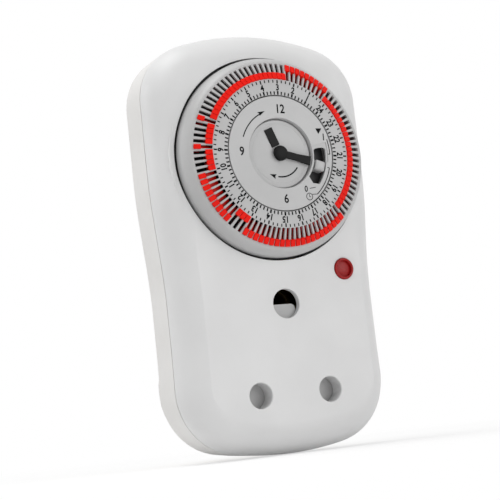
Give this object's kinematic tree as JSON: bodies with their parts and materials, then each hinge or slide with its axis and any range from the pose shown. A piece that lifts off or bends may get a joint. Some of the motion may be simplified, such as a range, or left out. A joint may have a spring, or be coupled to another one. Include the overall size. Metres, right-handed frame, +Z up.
{
  "type": "plug-in timer switch",
  "caption": "Plug-in mechanical day timer: a slotted dial with red sliding tappets and clock hands over a shuttered three-pin socket, with three round plug pins behind.",
  "frame": {"origin": "on the wall face of the plug base, midway between the live and neutral pins", "axes": "+Y towards the wall, +Z up towards the dial and earth pin, +X to the right seen from the front; the front is at -Y"},
  "size_m": [0.0786, 0.0714, 0.139],
  "materials": {
    "case_front": "satin",
    "case_rear": "satin",
    "dial_plastic": "satin",
    "tappet_red": "gloss",
    "hand_black": "matte",
    "frame_black": "matte",
    "gear_white": "satin",
    "shutter_grey": "satin",
    "lamp_red": "clear",
    "bulb_glass": "clear",
    "resistor_body": "satin",
    "brass": "satin",
    "steel": "brushed"
  },
  "bodies": {
    "case": {"front_housing": "case_front", "rear_housing": "case_rear", "case_screw_1": "steel", "case_screw_2": "steel", "case_screw_3": "steel", "case_screw_4": "steel", "lamp_lens": "lamp_red", "neon_bulb": "bulb_glass", "neon_resistor": "resistor_body", "live_contact": "brass", "neutral_contact": "brass", "earth_contact": "brass", "live_pin": "brass", "neutral_pin": "brass", "earth_pin": "brass", "supply_strap": "brass", "switched_strap": "brass", "neutral_strap": "brass", "shutter_spring": "steel", "front_plate": "frame_black", "back_plate": "frame_black", "pillar_1": "steel", "pillar_2": "steel", "pillar_3": "steel", "mech_screws": "steel", "center_bush": "brass", "clock_face": "case_front", "motor_can": "steel", "switch_body": "frame_black", "follower_spring": "steel"},
    "dial": {"dial_ring": "dial_plastic", "dial_gear": "gear_white", "tappets_on": "tappet_red", "tappets_off": "tappet_red"},
    "hour": {"hour_wheel": "gear_white", "hour_disc": "case_front", "hour_hand": "hand_black"},
    "minute": {"minute_arbor": "steel", "minute_hand": "hand_black"},
    "layshaft": {"layshaft": "steel"},
    "motor_pinion": {"motor_pinion": "steel"},
    "override": {"override_arm": "frame_black", "override_knob": "case_front"},
    "shutter": {"shutter": "shutter_grey"},
    "follower": {"follower_lever": "gear_white"},
    "plunger": {"switch_plunger": "tappet_red"},
    "tappet_0700": {"tappet_0700": "tappet_red"},
    "tappet_0715": {"tappet_0715": "tappet_red"},
    "tappet_0730": {"tappet_0730": "tappet_red"},
    "tappet_0745": {"tappet_0745": "tappet_red"},
    "tappet_0800": {"tappet_0800": "tappet_red"},
    "tappet_0815": {"tappet_0815": "tappet_red"},
    "tappet_0830": {"tappet_0830": "tappet_red"},
    "tappet_0845": {"tappet_0845": "tappet_red"},
    "tappet_0900": {"tappet_0900": "tappet_red"},
    "tappet_0915": {"tappet_0915": "tappet_red"},
    "tappet_0930": {"tappet_0930": "tappet_red"},
    "tappet_0945": {"tappet_0945": "tappet_red"}
  },
  "joints": [
    {"name": "dial_turn", "type": "hinge", "parent": "case", "child": "dial", "pos_m": [0, -0.037, 0.0765], "axis": [0, 1, 0], "continuous": true},
    {"name": "hour_turn", "type": "hinge", "parent": "case", "child": "hour", "pos_m": [0, -0.037, 0.0765], "axis": [0, 1, 0], "continuous": true},
    {"name": "minute_turn", "type": "hinge", "parent": "case", "child": "minute", "pos_m": [0, -0.037, 0.0765], "axis": [0, 1, 0], "continuous": true},
    {"name": "layshaft_turn", "type": "hinge", "parent": "case", "child": "layshaft", "pos_m": [-0.00983, -0.037, 0.06962], "axis": [0, 1, 0], "continuous": true},
    {"name": "motor_turn", "type": "hinge", "parent": "case", "child": "motor_pinion", "pos_m": [-0.0149, -0.027, 0.05874], "axis": [0, 1, 0], "continuous": true},
    {"name": "override_turn", "type": "hinge", "parent": "case", "child": "override", "pos_m": [0, -0.037, 0.0765], "axis": [0, 1, 0], "range_deg": [-16, 16]},
    {"name": "shutter_turn", "type": "hinge", "parent": "case", "child": "shutter", "pos_m": [-0.012, -0.0273, 0.0286], "axis": [0, 1, 0], "range_deg": [0, 25], "stiffness_Nm_per_rad": 0.002, "springref_deg": -22.92},
    {"name": "follower_turn", "type": "hinge", "parent": "case", "child": "follower", "pos_m": [0.02246, -0.028, 0.05895], "axis": [0, 1, 0], "range_deg": [-11, 0], "stiffness_Nm_per_rad": 0.002, "springref_deg": 11.46},
    {"name": "plunger_slide", "type": "slide", "parent": "case", "child": "plunger", "axis": [1, 0, 0], "range_m": [0, 0.0016]},
    {"name": "tappet_0700_slide", "type": "slide", "parent": "dial", "child": "tappet_0700", "axis": [-0.8075, 0.3233, 0.4934], "range_m": [0, 0.0037]},
    {"name": "tappet_0715_slide", "type": "slide", "parent": "dial", "child": "tappet_0715", "axis": [-0.838, 0.3233, 0.4395], "range_m": [0, 0.0037]},
    {"name": "tappet_0730_slide", "type": "slide", "parent": "dial", "child": "tappet_0730", "axis": [-0.865, 0.3233, 0.3838], "range_m": [-0.0037, 0]},
    {"name": "tappet_0745_slide", "type": "slide", "parent": "dial", "child": "tappet_0745", "axis": [-0.8882, 0.3233, 0.3264], "range_m": [0, 0.0037]},
    {"name": "tappet_0800_slide", "type": "slide", "parent": "dial", "child": "tappet_0800", "axis": [-0.9077, 0.3233, 0.2676], "range_m": [0, 0.0037]},
    {"name": "tappet_0815_slide", "type": "slide", "parent": "dial", "child": "tappet_0815", "axis": [-0.9232, 0.3233, 0.2076], "range_m": [0, 0.0037]},
    {"name": "tappet_0830_slide", "type": "slide", "parent": "dial", "child": "tappet_0830", "axis": [-0.9348, 0.3233, 0.1468], "range_m": [0, 0.0037]},
    {"name": "tappet_0845_slide", "type": "slide", "parent": "dial", "child": "tappet_0845", "axis": [-0.9424, 0.3233, 0.0854], "range_m": [-0.0037, 0]},
    {"name": "tappet_0900_slide", "type": "slide", "parent": "dial", "child": "tappet_0900", "axis": [-0.946, 0.3233, 0.0235], "range_m": [0, 0.0037]},
    {"name": "tappet_0915_slide", "type": "slide", "parent": "dial", "child": "tappet_0915", "axis": [-0.9455, 0.3233, -0.0384], "range_m": [0, 0.0037]},
    {"name": "tappet_0930_slide", "type": "slide", "parent": "dial", "child": "tappet_0930", "axis": [-0.941, 0.3233, -0.1001], "range_m": [0, 0.0037]},
    {"name": "tappet_0945_slide", "type": "slide", "parent": "dial", "child": "tappet_0945", "axis": [-0.9324, 0.3233, -0.1615], "range_m": [0, 0.0037]}
  ],
  "couplings": [
    {"joint": "hour_turn", "follows": "dial_turn", "ratio": 2},
    {"joint": "minute_turn", "follows": "dial_turn", "ratio": 24},
    {"joint": "layshaft_turn", "follows": "dial_turn", "ratio": -8},
    {"joint": "motor_turn", "follows": "dial_turn", "ratio": 24},
    {"joint": "plunger_slide", "follows": "follower_turn", "m_per_rad": -0.0078}
  ]
}
